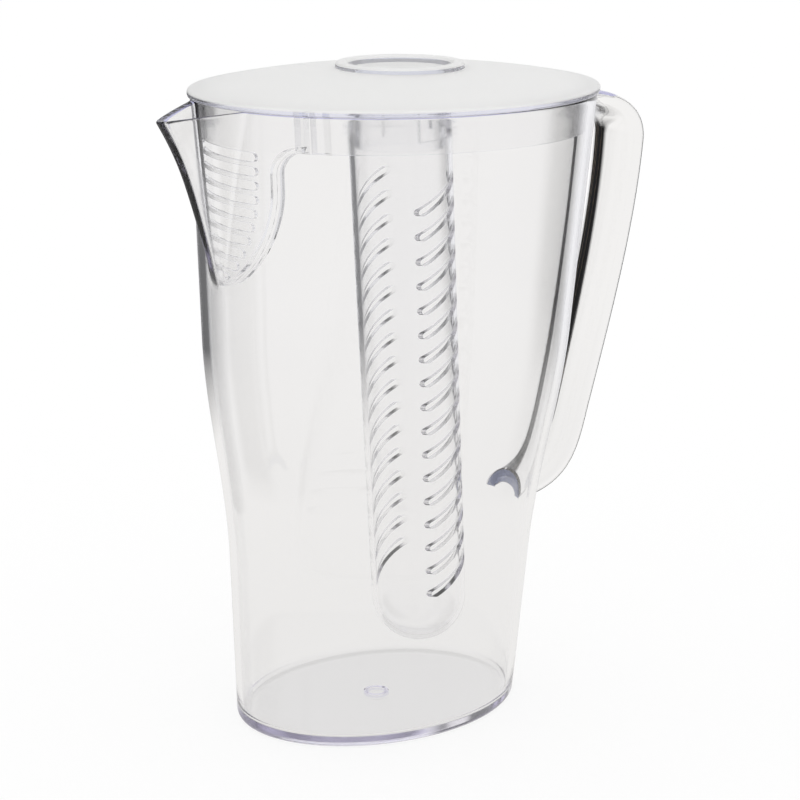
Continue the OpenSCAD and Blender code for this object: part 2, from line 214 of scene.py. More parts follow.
def newShapeTree(name, numbers):
    # a Geometry Nodes tree with named inputs; numbers is a list of (name, kind, value)
    tree = bpy.data.node_groups.new(name, "GeometryNodeTree")
    tree.interface.new_socket(name="Geometry", in_out="INPUT", socket_type="NodeSocketGeometry")
    tree.interface.new_socket(name="Geometry", in_out="OUTPUT", socket_type="NodeSocketGeometry")
    for label, kind, value in numbers:
        socket = tree.interface.new_socket(name=label, in_out="INPUT", socket_type="NodeSocket" + kind)
        if value is not None:
            socket.default_value = value
    graph = Graph(tree)
    start = tree.nodes.new("NodeGroupInput")
    return graph, {s.name: Wire(graph, s) for s in start.outputs if s.name}


def closeShapeTree(graph, shape, paint):
    real = graph.add("GeometryNodeRealizeInstances", values={0: shape})
    done = graph.add("GeometryNodeSetMaterial", values={"Geometry": real, "Material": paint})
    end = graph.tree.nodes.new("NodeGroupOutput")
    graph.plug(end.inputs[0], done)


def runShapeTree(piece, tree, numbers):
    # sets the inputs by identifier, keeps the result as a plain mesh and takes the modifier off
    step = piece.modifiers.new(tree.name, "NODES")
    step.node_group = tree
    names = {i.name: i.identifier for i in tree.interface.items_tree if i.in_out == "INPUT"}
    for label, value in numbers.items():
        step[names[label]] = value
    mesh = bpy.data.meshes.new_from_object(piece.evaluated_get(bpy.context.evaluated_depsgraph_get()))
    piece.modifiers.remove(step)
    piece.data = mesh
    pointOutwards(piece)
    return piece


# materials

def newPaint(name):
    paint = bpy.data.materials.new(name)
    paint.use_nodes = True
    paint.node_tree.nodes.clear()
    return paint, Graph(paint.node_tree)


def blend(graph, share, near, far):
    def colour(c):
        return c if isinstance(c, Wire) else (*c, 1)
    mixed = {"Factor": share, 6: colour(near), 7: colour(far)}
    return graph.add("ShaderNodeMix", {"data_type": "RGBA"}, mixed, out=2)


def splitAxes(graph, vector):
    return graph.add("ShaderNodeSeparateXYZ", values={"Vector": vector})


def addNoise(graph, place, scale, detail):
    return graph.add("ShaderNodeTexNoise", values={"Vector": place, "Scale": scale, "Detail": detail})


clearSettings = dict(
    ior=1.5, roughness=0.012, wear=0.03, wearScale=42.0, wearFrom=0.45,
    # the edge colour is painted shade where the plastic is seen edge-on
    tint=(0.99, 0.99, 0.99), edgeShade=(0.93, 0.93, 0.97), edgeStart=0.85,
    wearDetail=4.0, flowScale=16.0, flowDetail=2.0, flowStretch=0.25, flowDepth=0.05, flowHeight=0.001,
    dye=(0.63, 0.54, 0.957), dyeDensity=2.0)  # what a long way through the plastic adds


def addDye(graph, settings):
    return graph.add("ShaderNodeVolumeAbsorption", values={
        "Color": (*settings["dye"], 1), "Density": settings["dyeDensity"]})


def makeClear(name, settings, dress):
    # dress adds what only one piece has to the colour and the roughness, painted light and shade among it,
    # and may give a veil to lay over it
    paint, graph = newPaint(name)
    place = graph.add("ShaderNodeTexCoord", out="Object")
    # flow marks of the moulding run upwards; fine haze where hands and dishwashers have rubbed it
    long = graph.add("ShaderNodeMapping", values={
        "Vector": place, "Scale": (1.0, 1.0, settings["flowStretch"])})
    flow = addNoise(graph, long, settings["flowScale"], settings["flowDetail"])
    haze = addNoise(graph, place, settings["wearScale"], settings["wearDetail"])
    roughness = settings["roughness"] + settings["wear"] * (haze - settings["wearFrom"]).clamped()
    # painted shade: the clear plastic is painted darker where it is seen edge-on, for the dark edges it shows
    facing = graph.add("ShaderNodeLayerWeight", values={"Blend": 0.5}, out="Facing")
    edge = ((facing - settings["edgeStart"]) / (1 - settings["edgeStart"])).clamped()
    colour = blend(graph, edge, settings["tint"], settings["edgeShade"])
    colour, roughness, veil, veiled = dress(graph, splitAxes(graph, place), facing, colour, roughness)
    bump = graph.add("ShaderNodeBump", values={
        "Strength": settings["flowDepth"], "Distance": settings["flowHeight"], "Height": flow})
    body = graph.add("ShaderNodeBsdfPrincipled", values={
        "Base Color": colour, "Roughness": roughness, "IOR": settings["ior"],
        "Transmission Weight": 1.0, "Normal": bump})
    # the veil is painted: an opaque shader laid over the clear plastic where the dress paints shade or light
    if veil:
        body = graph.add("ShaderNodeMixShader", values={0: veiled, 1: body, 2: veil})
    graph.add("ShaderNodeOutputMaterial", values={"Surface": body, "Volume": addDye(graph, settings)})
    return paint


# places on the jug are in metres here
jugMarks = dict(
    rimTint=(0.42, 0.42, 0.80), rimFrom=0.243, rimSlope=0.4,
    # the band and streak colours are the painted dark band on the strap and the lighter streaks in it
    bandFrom=0.183, bandTo=0.205, bandTop=0.234, bandFade=160.0, bandPaintedShade=(0.0003, 0.0003, 0.0005),
    streakPaintedShade=(0.42, 0.33, 0.25), streakScale=800.0, streakDetail=1.0, streakFrom=0.52, streakEdge=6.0,
    # the root colour is painted light on the strap's root as it is seen through the wall
    rootPaintedLight=(0.42, 0.48, 0.80), rootShare=0.85, rootEdge=6.0, rootX=0.03, rootZ=0.0788,
    rootOuter=(0.0125, 0.0092), rootInner=(0.0078, 0.0036), veilRoughness=0.6,
    # the gate colour is painted darker violet shade in the sunken ring of the gate mark
    gateShade=(0.74, 0.72, 0.88), gateOuter=0.0052, gateInner=0.0034, gateTop=0.00352, gateSlope=-0.5,
    keelReach=0.0045, keelFrom=-0.060, keelRoughness=0.16, underside=0.0006, undersideRoughness=0.03)


def dressJug(graph, spot, facing, colour, roughness):
    s = jugMarks
    x, y, z = spot.out("X"), spot.out("Y"), spot.out("Z")
    normal = graph.add("ShaderNodeNewGeometry", out="True Normal")
    up = splitAxes(graph, normal).out("Z")
    inward = normal.out("Backfacing")
    # light that the wall guides up leaves at the rim
    colour = blend(graph, (up > s["rimSlope"]) * (z > s["rimFrom"]), colour, s["rimTint"])

    # painted shade: a dark, streaky veil over the strap in a band of view angles, where its arched section
    # bends the view aside to the dark room
    onStrap = graph.add("ShaderNodeAttribute", {"attribute_name": "strap"}, out="Fac")
    turned = ((facing - s["bandFrom"]) / (s["bandTo"] - s["bandFrom"])).clamped()
    band = turned * ((s["bandTop"] - z) * s["bandFade"]).clamped() * onStrap * inward
    streaks = graph.add("ShaderNodeTexNoise", {"noise_dimensions": "1D"}, {
        "W": y, "Scale": s["streakScale"], "Detail": s["streakDetail"]})
    streaky = ((streaks - s["streakFrom"]) * s["streakEdge"]).clamped()
    dark = blend(graph, streaky, s["bandPaintedShade"], s["streakPaintedShade"])

    # painted light: where the strap's root is seen through the wall, the veil is painted blue-violet for the
    # light that comes along the whole strap
    rise = z - s["rootZ"]

    def inside(span):
        far = (y / span[0]) ** 2 + (rise / span[1]) ** 2
        return ((1 - far) * s["rootEdge"]).clamped()

    root = inside(s["rootOuter"]) * (1 - inside(s["rootInner"])) * (rise > 0)
    root = root * (x > s["rootX"]) * (1 - onStrap) * (inward < 0.5) * s["rootShare"]
    veil = graph.add("ShaderNodeBsdfPrincipled", values={
        "Base Color": blend(graph, root, dark, s["rootPaintedLight"]), "Roughness": s["veilRoughness"],
        "Specular IOR Level": 0.0})

    # painted shade: the sunken ring of the gate mark on the jug's floor is painted darker violet
    reach = (x ** 2 + y ** 2) ** 0.5
    gate = (reach < s["gateOuter"]) * (reach > s["gateInner"]) * (z < s["gateTop"]) * (up > s["gateSlope"])
    colour = blend(graph, gate, colour, s["gateShade"])
    keel = (y.only("ABSOLUTE") < s["keelReach"]) * (x < s["keelFrom"])
    roughness = roughness + s["keelRoughness"] * keel + s["undersideRoughness"] * (z < s["underside"])
    return colour, roughness, veil, (band + root).clamped()


# painted shade: the tube's edges are painted nearly black where the tube is seen edge-on
tubeSettings = dict(clearSettings, edgeShade=(0.22, 0.22, 0.24), edgeStart=0.91)
tubeMarks = dict(cutRoughness=0.22, cutFacing=0.75, cutFrom=46.0)


def dressTube(graph, spot, facing, colour, roughness):
    # the slots' walls are drafted and soft in the moulding, so they scatter what they mirror
    cut = graph.add("ShaderNodeAttribute", {"attribute_name": "cut"}, out="Fac")
    return colour, roughness + tubeMarks["cutRoughness"] * cut, None, None


frostSettings = dict(
    ior=1.5, grainScale=2600.0, grainDetail=2.0, grainDepth=0.25, grainHeight=0.00005,
    cloudScale=30.0, cloudDetail=3.0,
    topRoughness=0.5, topCloud=0.08, milk=0.76, milkTint=(0.985, 0.985, 0.975), topSlope=0.3,
    skirtRoughness=0.09, tongueRoughness=0.05, sideCloud=0.04, tint=(1.0, 1.0, 1.0),
    frostFrom=0.2512, frostTo=0.2522, skirtFrom=0.2350, skirtTo=0.2370,
    # the edge colour is a painted darker bluish shade on the side of the lid's rim
    edgeShade=(0.86, 0.87, 0.96), edgeFrom=0.2502, edgeSlope=0.5,
    dye=(0.63, 0.60, 0.90), dyeDensity=2.0)


def makeFrosted(name, settings):
    # the outside of the top is eroded to a milky satin, the skirt is hazy, the strainer nearly clear
    s = settings
    paint, graph = newPaint(name)
    place = graph.add("ShaderNodeTexCoord", out="Object")
    height = splitAxes(graph, place).out("Z")
    up = splitAxes(graph, graph.add("ShaderNodeNewGeometry", out="True Normal")).out("Z")

    def above(start, end):
        return ((height - s[start]) / (s[end] - s[start])).clamped()

    frosted = above("frostFrom", "frostTo") * (up > s["topSlope"])
    cloud = addNoise(graph, place, s["cloudScale"], s["cloudDetail"]) - 0.5
    grain = addNoise(graph, place, s["grainScale"], s["grainDetail"])
    bump = graph.add("ShaderNodeBump", values={
        "Strength": s["grainDepth"], "Distance": s["grainHeight"], "Height": grain})
    more = s["skirtRoughness"] - s["tongueRoughness"]
    hazy = s["tongueRoughness"] + above("skirtFrom", "skirtTo") * more
    # painted shade: the side of the lid's rim is painted a darker bluish tone
    edge = (height > s["edgeFrom"]) * (up.only("ABSOLUTE") < s["edgeSlope"])
    smooth = graph.add("ShaderNodeBsdfPrincipled", values={
        "Base Color": blend(graph, edge, s["tint"], s["edgeShade"]),
        "Roughness": hazy + s["sideCloud"] * cloud, "IOR": s["ior"], "Transmission Weight": 1.0})
    satin = graph.add("ShaderNodeBsdfPrincipled", values={
        "Base Color": (*s["milkTint"], 1), "Roughness": s["topRoughness"] + s["topCloud"] * cloud,
        "IOR": s["ior"], "Transmission Weight": 1 - s["milk"], "Normal": bump})
    both = graph.add("ShaderNodeMixShader", values={0: frosted, 1: smooth, 2: satin})
    graph.add("ShaderNodeOutputMaterial", values={"Surface": both, "Volume": addDye(graph, s)})
    return paint


clearJug = makeClear("clearJug", clearSettings, dressJug)
clearTube = makeClear("clearTube", tubeSettings, dressTube)
frostedLid = makeFrosted("frostedLid", frostSettings)
print("materials ready")


# jug: oval body with its spout, and the strap handle

jugSizes = dict(
    rimHeight=250.0, baseLength=120.0, baseWidth=93.0, rimLength=161.0, rimWidth=146.0, rimShift=9.4,
    swellStart=66.0, swellEnd=156.0, swellLength=7.0, swellWidth=5.4, wall=2.8, floor=3.6,
    corner=2.6, innerCorner=2.4, rimRound=0.9,
    spoutReach=21.6, spoutWidth=37.0, spoutHeight=68.0, spoutDip=4.2, keelWidth=9.0,
    tipExtra=1.1, sideExtra=0.8, keelRound=0.06, keelSoft=1.0, lipSoft=2.8, lipShare=0.14, lipCurl=5,
    spoutSpan=27.0, coarseStep=1.8, fineStep=0.6,  # degrees between the points of a ring
    plainRings=40, spoutRings=34, spoutLead=2.0, cornerSteps=8, coreLow=6.0, coreHigh=8.0,
    gateRadius=5.0, gateCentre=3.7, gateDepth=0.45, gateRise=0.35, gateSlope=0.25, gateStep=5.0,
    strapFrom=0.4, strapUnder=1.0, softAngle=32)


def halfLength(z):
    s = jugSizes
    return lerp(s["baseLength"] / 2, s["rimLength"] / 2 - s["swellLength"], z / s["rimHeight"]) \
        + s["swellLength"] * easeStep(s["swellStart"], s["swellEnd"], z)


def halfWidth(z):
    s = jugSizes
    return lerp(s["baseWidth"] / 2, s["rimWidth"] / 2 - s["swellWidth"], z / s["rimHeight"]) \
        + s["swellWidth"] * easeStep(s["swellStart"], s["swellEnd"], z)


def centreX(z):
    return jugSizes["rimShift"] * z / jugSizes["rimHeight"]


def spoutBulge(y, z, inside):
    # share of the spout's reach at this side distance and height
    s = jugSizes
    rise = np.clip((z - s["rimHeight"] + s["spoutHeight"]) / s["spoutHeight"], 0, 1)
    half = lerp(s["keelWidth"] / 2, s["spoutWidth"] / 2, rise) - inside * s["sideExtra"]
    blunt = lerp(s["keelSoft"], s["lipSoft"], rise ** s["lipCurl"])
    soft = np.hypot(y, blunt) - blunt
    across = np.clip(1 - soft / half, 0, None)
    across = across ** 2 / (across + s["keelRound"]) * (1 + s["keelRound"])
    return across * ((1 - s["lipShare"]) * rise + s["lipShare"] * rise ** s["lipCurl"])


def ovalRing(z, inset, inside=None):
    # inside is None without the spout, 0 for the spout's outside and 1 for its inside
    s = jugSizes
    x = centreX(z) + (halfLength(z) - inset) * np.cos(ringAngles)
    y = (halfWidth(z) - inset) * np.sin(ringAngles)
    height = np.full(len(x), float(z))
    if inside is not None:
        bulge = spoutBulge(y, z, inside) * (np.cos(ringAngles) < 0)
        x = x - bulge * (s["spoutReach"] - inside * s["tipExtra"])
        dip = s["spoutDip"] * easeStep(s["rimHeight"] - s["spoutHeight"] / 2, s["rimHeight"], z)
        height = height - bulge * dip
    return np.stack([x, y, height], axis=1)


def spreadAngles():
    # the points of a ring, closer together where the spout is
    span, coarse, fine = jugSizes["spoutSpan"], jugSizes["coarseStep"], jugSizes["fineStep"]
    return np.radians(np.concatenate([
        np.arange(-180 + span, 180 - span, coarse), np.arange(180 - span, 180 + span, fine)]))


ringAngles = spreadAngles()


def makeJug():
    s = jugSizes
    turns = np.radians(np.linspace(0, 90, s["cornerSteps"] + 1))
    top, soft = s["rimHeight"], s["rimRound"]
    spoutLow = top - s["spoutHeight"] - s["spoutLead"]

    def levels(start):
        low = np.linspace(start, spoutLow, s["plainRings"])[1:]
        return np.concatenate([low, np.linspace(spoutLow, top - soft, s["spoutRings"])[1:]])

    def bottomCorner(height, inset, radius, angles):
        return [ovalRing(height + radius * (1 - math.cos(t)), inset + radius * (1 - math.sin(t)))
                for t in angles]

    lip = [(top - soft * (1 - math.sin(t)), soft * (1 - math.cos(t))) for t in turns[1::2]]
    rings = bottomCorner(0, 0, s["corner"], turns)
    rings += [ovalRing(z, 0, 0) for z in levels(s["corner"])]
    rings += [ovalRing(z, inset, 0) for z, inset in lip]
    rings += [ovalRing(z, s["wall"] - inset, 1) for z, inset in lip[::-1]]
    rings += [ovalRing(z, s["wall"], 1) for z in levels(s["floor"] + s["innerCorner"])[::-1]]
    rings += bottomCorner(s["floor"], s["wall"], s["innerCorner"], turns[::-1])
    return stackRings("jugBody", rings)


handleSizes = dict(
    topDepth=2.8, footHeight=81.0, reach=120.7, shoulderDepth=26.0, level=9.0, shoulderFall=0.6,
    upperPull=12.0, upperLean=4.0, gripEnd=112.0, gripFoot=97.3, gripPull=37.0,
    lowerLean=15.0, lowerPull=18.0, footLevel=9.0, footDrop=3.0, footRise=3.0,
    topWidth=30.2, footWidth=24.6, arch=8.6, thickness=3.2, edgeThickness=4.4,
    root=5.0, footRoot=1.0, archSteps=24, edgeSteps=8, bendRings=44, gripRings=26)


def bezierPath(p, s):
    u = 1 - s
    place = u ** 3 * p[0] + 3 * u * u * s * p[1] + 3 * u * s * s * p[2] + s ** 3 * p[3]
    way = 3 * u * u * (p[1] - p[0]) + 6 * u * s * (p[2] - p[1]) + 3 * s * s * (p[3] - p[2])
    return place, way / np.linalg.norm(way)


def strapSection(half):
    # a gutter with a thin crown and thick round edges, as [side, depth]
    s = handleSizes
    r = s["edgeThickness"] / 2
    turns = np.radians(np.linspace(-90, 90, s["archSteps"] + 1))
    crown = s["arch"] - s["thickness"] - r
    outer = np.stack([half * np.sin(turns), r + (s["arch"] - r) * np.cos(turns)], 1)
    inner = np.stack([(half - 2 * r) * np.sin(turns), r + crown * np.cos(turns)], 1)
    edge = np.radians(np.linspace(0, 180, s["edgeSteps"] + 1)[1:-1])
    right = np.stack([half - r + r * np.cos(edge), r - r * np.sin(edge)], 1)
    return np.concatenate([outer, right, inner[::-1], (right * [-1, 1])[::-1]])


def makeStrap():
    j, s = jugSizes, handleSizes
    top, shoulder = j["rimHeight"] - s["topDepth"], j["rimHeight"] - s["shoulderDepth"]
    high, low = math.tan(math.radians(s["upperLean"])), math.tan(math.radians(s["lowerLean"]))
    start = j["rimShift"] + j["rimLength"] / 2 - j["wall"] - s["root"]
    foot = s["footHeight"] - s["footDrop"]
    end = centreX(foot) + halfLength(foot) - j["wall"] - s["footRoot"]
    reach, gripFoot, gripEnd, pull = s["reach"], s["gripFoot"], s["gripEnd"], s["gripPull"]
    curves = [np.array([[start, top], [reach - s["level"], top - s["shoulderFall"]],
                        [reach + s["upperPull"] * high, shoulder + s["upperPull"]], [reach, shoulder]]),
              np.array([[reach, shoulder], [reach - pull * high, shoulder - pull],
                        [gripFoot + pull * low, gripEnd + pull], [gripFoot, gripEnd]]),
              np.array([[gripFoot, gripEnd], [gripFoot - s["lowerPull"] * low, gripEnd - s["lowerPull"]],
                        [gripFoot - s["footLevel"], foot + s["footRise"]], [end, foot]])]
    # a station is its place, its way along the path and its share of the narrowing
    stations = [(*bezierPath(curves[0], t), 0.0) for t in np.linspace(0, 1, s["bendRings"])]
    stations += [(*bezierPath(curves[1], t), t) for t in np.linspace(0, 1, s["gripRings"])[1:-1]]
    stations += [(*bezierPath(curves[2], t), 1.0) for t in np.linspace(0, 1, s["bendRings"])]
    rings = []
    for place, way, t in stations:
        section = strapSection(lerp(s["topWidth"], s["footWidth"], t) / 2)
        side, depth = section[:, 0], section[:, 1]
        rings.append(np.stack([place[0] + way[1] * depth, side, place[1] - way[0] * depth], 1))
    return stackRings("strap", rings)


def makeCore():
    # fills the jug up to the middle of its wall, to trim what ends in the wall
    s = jugSizes
    levels = np.linspace(s["floor"] + s["coreLow"], s["rimHeight"] + s["coreHigh"], s["plainRings"])
    return stackRings("core", [ovalRing(z, s["wall"] / 2) for z in levels])


jug = makeJug()
strap = combine(makeStrap(), makeCore(), "DIFFERENCE")
combine(jug, strap, "UNION")


def makeDisc(name, radius, low, high):
    # flares a little towards its top
    a = np.radians(np.arange(0, 360, jugSizes["gateStep"]))
    wide = radius + jugSizes["gateSlope"] * (high - low)
    return stackRings(name, [np.stack([r * np.cos(a), r * np.sin(a), np.full(len(a), z)], 1)
                             for r, z in ((radius, low), (wide, high))])


def makeGate():
    # the round mark that the moulding leaves in the middle of the floor
    s = jugSizes
    low = s["floor"] - s["gateDepth"]
    return combine(makeDisc("gate", s["gateRadius"], low, s["floor"] + overcut),
                   makeDisc("centre", s["gateCentre"], low - overcut, low + s["gateRise"]), "DIFFERENCE")


def markStrap(piece):
    # tells the material what lies outside the wall on the handle's side
    mark = piece.data.attributes.new("strap", "FLOAT", "POINT")
    for k, v in enumerate(piece.data.vertices):
        x, z = v.co.x / mm, v.co.z / mm
        wall = halfLength(min(z, jugSizes["rimHeight"] - jugSizes["strapUnder"]))
        mark.data[k].value = float(x > centreX(z) + wall + jugSizes["strapFrom"])


combine(jug, makeGate(), "DIFFERENCE")
jug.name = "jugShell"
markStrap(jug)
shadeSoft(jug, jugSizes["softAngle"])
print("jug made", len(jug.data.polygons))


# shapes that Geometry Nodes make: what is turned about an axis, and rows of slots

def makeTurnedTree():
    graph, given = newShapeTree("turnedShape", [
        ("Rows", "Int", 2), ("Steps Around", "Int", 96), ("Stretch", "Float", 1.0),
        ("Paint", "Material", None)])
    grid = graph.add("GeometryNodeMeshGrid", values={
        "Size X": 1.0, "Size Y": 1.0, "Vertices X": given["Steps Around"] + 1, "Vertices Y": given["Rows"]})
    spot = graph.add("GeometryNodeInputPosition")
    parts = splitAxes(graph, spot)
    turn = (parts.out("X") + 0.5) * (2 * math.pi)
    row = (parts.out("Y") + 0.5) * (given["Rows"] - 1)
    profile = graph.add("GeometryNodeSampleIndex", {"data_type": "FLOAT_VECTOR", "domain": "POINT"}, {
        "Geometry": given["Geometry"], "Value": spot, "Index": row.only("ROUND")})
    along = splitAxes(graph, profile)
    radius = along.out("X")
    place = graph.add("ShaderNodeCombineXYZ", values={
        "X": radius * turn.only("COSINE"), "Y": radius * turn.only("SINE") * given["Stretch"],
        "Z": along.out("Z")})
    turned = graph.add("GeometryNodeSetPosition", values={"Geometry": grid, "Position": place})
    merged = graph.add("GeometryNodeMergeByDistance", values={"Geometry": turned, "Distance": 1e-6})
    closeShapeTree(graph, merged, given["Paint"])
    return graph.tree


turnedTree = makeTurnedTree()


def turnProfile(name, profile, steps, paint, stretch=1.0):
    # profile runs from axis to axis as [radius, z]
    points = [(r, 0, z) for r, z in profile]
    piece = makePiece(name, points, [])
    return runShapeTree(piece, turnedTree, {
        "Rows": len(points), "Steps Around": steps, "Stretch": stretch, "Paint": paint})


tubeSizes = dict(
    x=11.5, topDiameter=40.4, bottomDiameter=38.2, wall=2.0, topDepth=10.5, clearance=25.0, lean=2.3,
    slots=17, slotHeight=3.0, slotPitch=9.72, slotFirst=38.9, slotSlope=28.0, slotSpan=24.0, slotTurn=-67.5,
    lugTurn=-32.0, bayonetTurn=60.0, lugWidth=4.2, lugHeight=2.4, lugReach=1.8, lugDepth=4.6,
    sideGap=0.5, lugPlay=1.2, collarGap=0.6, topRound=0.5, topRun=2.0, softAngle=32,
    around=144, roundSteps=30, sideSteps=90, sectorSteps=40, cutReach=50.0)
tubeTop = jugSizes["rimHeight"] - tubeSizes["topDepth"]
lugZ = tubeTop - tubeSizes["lugDepth"]


def makeSlotTree():
    # repeats the one slot it is given, downwards and cut to the middle of the tube
    graph, given = newShapeTree("slotRow", [
        ("Count", "Int", 1), ("Pitch", "Float", 0.01), ("First Height", "Float", 0.2),
        ("Paint", "Material", None)])
    first = graph.add("ShaderNodeCombineXYZ", values={"Z": given["First Height"]})
    step = graph.add("ShaderNodeCombineXYZ", values={"Z": given["Pitch"] * -1.0})
    spots = graph.add("GeometryNodeMeshLine", values={
        "Count": given["Count"], "Start Location": first, "Offset": step})
    row = graph.add("GeometryNodeInstanceOnPoints", values={"Points": spots, "Instance": given["Geometry"]})
    closeShapeTree(graph, row, given["Paint"])
    return graph.tree


def roundSlot(half, height, steps=14):
    r = height / 2
    right = [(half + r * math.cos(a), r * math.sin(a)) for a in np.radians(np.linspace(-90, 90, steps))]
    return right + [(-y, -z) for y, z in right]


def turnShape(piece, matrix):
    piece.data.transform(matrix)
    return piece


def sectorBlock(name, start, end, reach, low, high):
    angles = np.radians(np.linspace(start, end, tubeSizes["sectorSteps"]))
    outline = [(0.0, 0.0)] + [(reach * math.cos(a), reach * math.sin(a)) for a in angles]
    return prismAlong(name, outline, low, high, "Z")


def markCuts(piece):
    # tells the material which faces are the walls of slots, before the tube is leant over
    cut = piece.data.attributes.new("cut", "FLOAT", "FACE")
    for k, face in enumerate(piece.data.polygons):
        out = Vector((face.center.x, face.center.y, 0)).normalized()
        isWall = abs(face.normal.dot(out)) < tubeMarks["cutFacing"]
        isBetween = tubeMarks["cutFrom"] < face.center.z / mm < tubeTop - 2 * tubeSizes["topRound"]
        cut.data[k].value = float(isWall and isBetween)


def makeTube():
    s = tubeSizes
    roundR = s["bottomDiameter"] / 2
    roundZ = s["clearance"] + roundR
    arc = np.radians(np.linspace(0, 90, s["roundSteps"]))

    def side(inset):
        low = [((roundR - inset) * math.sin(a), roundZ - (roundR - inset) * math.cos(a)) for a in arc]
        high = [(lerp(roundR, s["topDiameter"] / 2, t) - inset, lerp(roundZ, tubeTop, t))
                for t in np.linspace(0, 1, s["sideSteps"])[1:-1]]
        return low + high

    outside, inside = s["topDiameter"] / 2, s["topDiameter"] / 2 - s["wall"]
    edge = bendCorners([(outside, tubeTop - s["topRun"]), (outside, tubeTop), (inside, tubeTop),
                        (inside, tubeTop - s["topRun"])], [0, s["topRound"], s["topRound"], 0])
    outer, inner = side(0), side(s["wall"])
    outer[0], inner[0] = (0.0, outer[0][1]), (0.0, inner[0][1])
    tube = turnProfile("infuserTube", outer + edge[1:-1] + inner[::-1], s["around"], clearTube)
    half = (s["slotSpan"] - s["slotHeight"]) / 2 / math.cos(math.radians(s["slotSlope"]))
    slot = prismAlong("slots", roundSlot(half, s["slotHeight"]), -s["cutReach"], s["cutReach"], "X")
    turnShape(slot, Matrix.Rotation(math.radians(s["slotTurn"] - s["lugTurn"]), 4, "Z")
              @ Matrix.Rotation(math.radians(s["slotSlope"]), 4, "X"))
    runShapeTree(slot, makeSlotTree(), {
        "Count": s["slots"], "Pitch": s["slotPitch"] * mm, "Paint": clearTube,
        "First Height": (jugSizes["rimHeight"] - s["slotFirst"]) * mm})
    combine(tube, slot, "DIFFERENCE")
    wayHeight, wayWidth = s["lugHeight"] + 2 * s["lugPlay"], s["lugWidth"] + 2 * s["sideGap"]
    low, reach = lugZ - wayHeight / 2, s["topDiameter"]
    box = [(0, -wayWidth / 2), (reach, -wayWidth / 2), (reach, wayWidth / 2), (0, wayWidth / 2)]
    for turn in (0, 180):
        way = sectorBlock("way", -s["bayonetTurn"], 0, reach, low, low + wayHeight)
        combine(way, prismAlong("way", box, low, low + wayHeight, "Z"), "UNION")
        entry = prismAlong("way", box, low, low + s["lugDepth"] + wayHeight, "Z")
        combine(way, turnShape(entry, Matrix.Rotation(math.radians(-s["bayonetTurn"]), 4, "Z")), "UNION")
        combine(tube, turnShape(way, Matrix.Rotation(math.radians(turn), 4, "Z")), "DIFFERENCE")
    markCuts(tube)
    turn = Matrix.Rotation(math.radians(s["lugTurn"]), 4, "Z")
    lean = Matrix.Rotation(math.radians(-s["lean"]), 4, "Y")
    toLugs, back = Matrix.Translation((0, 0, -lugZ * mm)), Matrix.Translation((s["x"] * mm, 0, lugZ * mm))
    return turnShape(tube, back @ turn @ lean @ toLugs)


tube = makeTube()
tube.name = "infuserTube"
shadeSoft(tube, tubeSizes["softAngle"])
print("tube made", len(tube.data.polygons))


# lid: frosted dome with its ring, skirt, strainer tongue, ribs, collar and lugs

lidSizes = dict(
    overhang=1.06, edge=2.4, edgeRound=0.8, edgeSoft=0.3, seat=5.4, seatGap=0.05,
    domeRise=7.2, domeWall=2.2, domeCurve=2.3,
    skirtDepth=13.6, skirtWall=1.8, skirtGap=0.4, ribWidth=3.6, ribHeight=2.0, ribOffset=42.5,
    tongueWidth=58.0, tongueDepth=54.0, tongueStraight=14.6, tongueCurve=1.8, shoulder=9.0,
    beadWidth=2.0, beadHeight=4.4, ringDiameter=50.0, dishDiameter=40.0, ringHeight=1.8, ringRound=1.6,
    dishDepth=4.6, collarWall=2.0, collarDepth=21.0, sink=0.12, edgeSink=0.15,
    domeSteps=60, domeEnd=0.96, edgeEnd=0.97, seatLip=0.6, wellGap=0.8, wellFrom=1.0, wellOver=9.0,
    joinHigh=1.2, apronHigh=1.6, tongueRise=5.0, tongueEnd=1.0, sideEnd=15.0, beadTop=10.0,
    joinRound=0.4, holeRound=0.3, collarRound=0.6, underRound=0.5,
    followSteps=16, shoulderSteps=16, curveSteps=24, tipSteps=14, tipFrom=0.9,
    around=200, roundSteps=144, softAngle=30)
pourSizes = dict(slots=10, height=3.6, pitch=5.25, first=16.6, follow=0.87, margin=3.0,
                 pinHalf=0.0001, pinSteps=12, pinLength=150.0)
skirtBottom = jugSizes["rimHeight"] - lidSizes["skirtDepth"]
tongueBottom = skirtBottom - lidSizes["tongueDepth"]
tongueRound = skirtBottom - lidSizes["tongueStraight"]
domeTop = jugSizes["rimHeight"] + lidSizes["edge"] + lidSizes["domeRise"]
ringTop = domeTop + lidSizes["ringHeight"]
dishFloor = ringTop - lidSizes["dishDepth"]
collarRadius = tubeSizes["topDiameter"] / 2 - tubeSizes["wall"] - tubeSizes["collarGap"]


def makeDome():
    s, rim = lidSizes, jugSizes["rimHeight"]
    big = jugSizes["rimLength"] / 2 + s["overhang"]
    stretch = (jugSizes["rimWidth"] / 2 + s["overhang"]) / big
    shares = np.linspace(0, 1, s["domeSteps"])

    def height(share, down=0.0):
        return rim + s["edge"] + s["domeRise"] * (1 - share ** s["domeCurve"]) - down

    seat = big - s["seat"]
    inner = [(share * big, max(rim, height(share, s["domeWall"]))) for share in shares if share * big < seat]
    edge = bendCorners([(seat, rim + s["seatGap"]), (big, rim + s["seatGap"]), (big, rim + s["edge"]),
                        (big * s["edgeEnd"], height(s["edgeEnd"]))],
                       [0, s["edgeRound"], s["edgeRound"] + s["edgeSoft"], 0])
    outer = [(share * big, height(share)) for share in shares[::-1] if share < s["domeEnd"]]
    profile = inner + [(seat, rim + s["seatLip"])] + edge + outer
    dome = turnProfile("lid", profile, s["around"], frostedLid, stretch)
    return turnShape(dome, Matrix.Translation((jugSizes["rimShift"] * mm, 0, 0)))


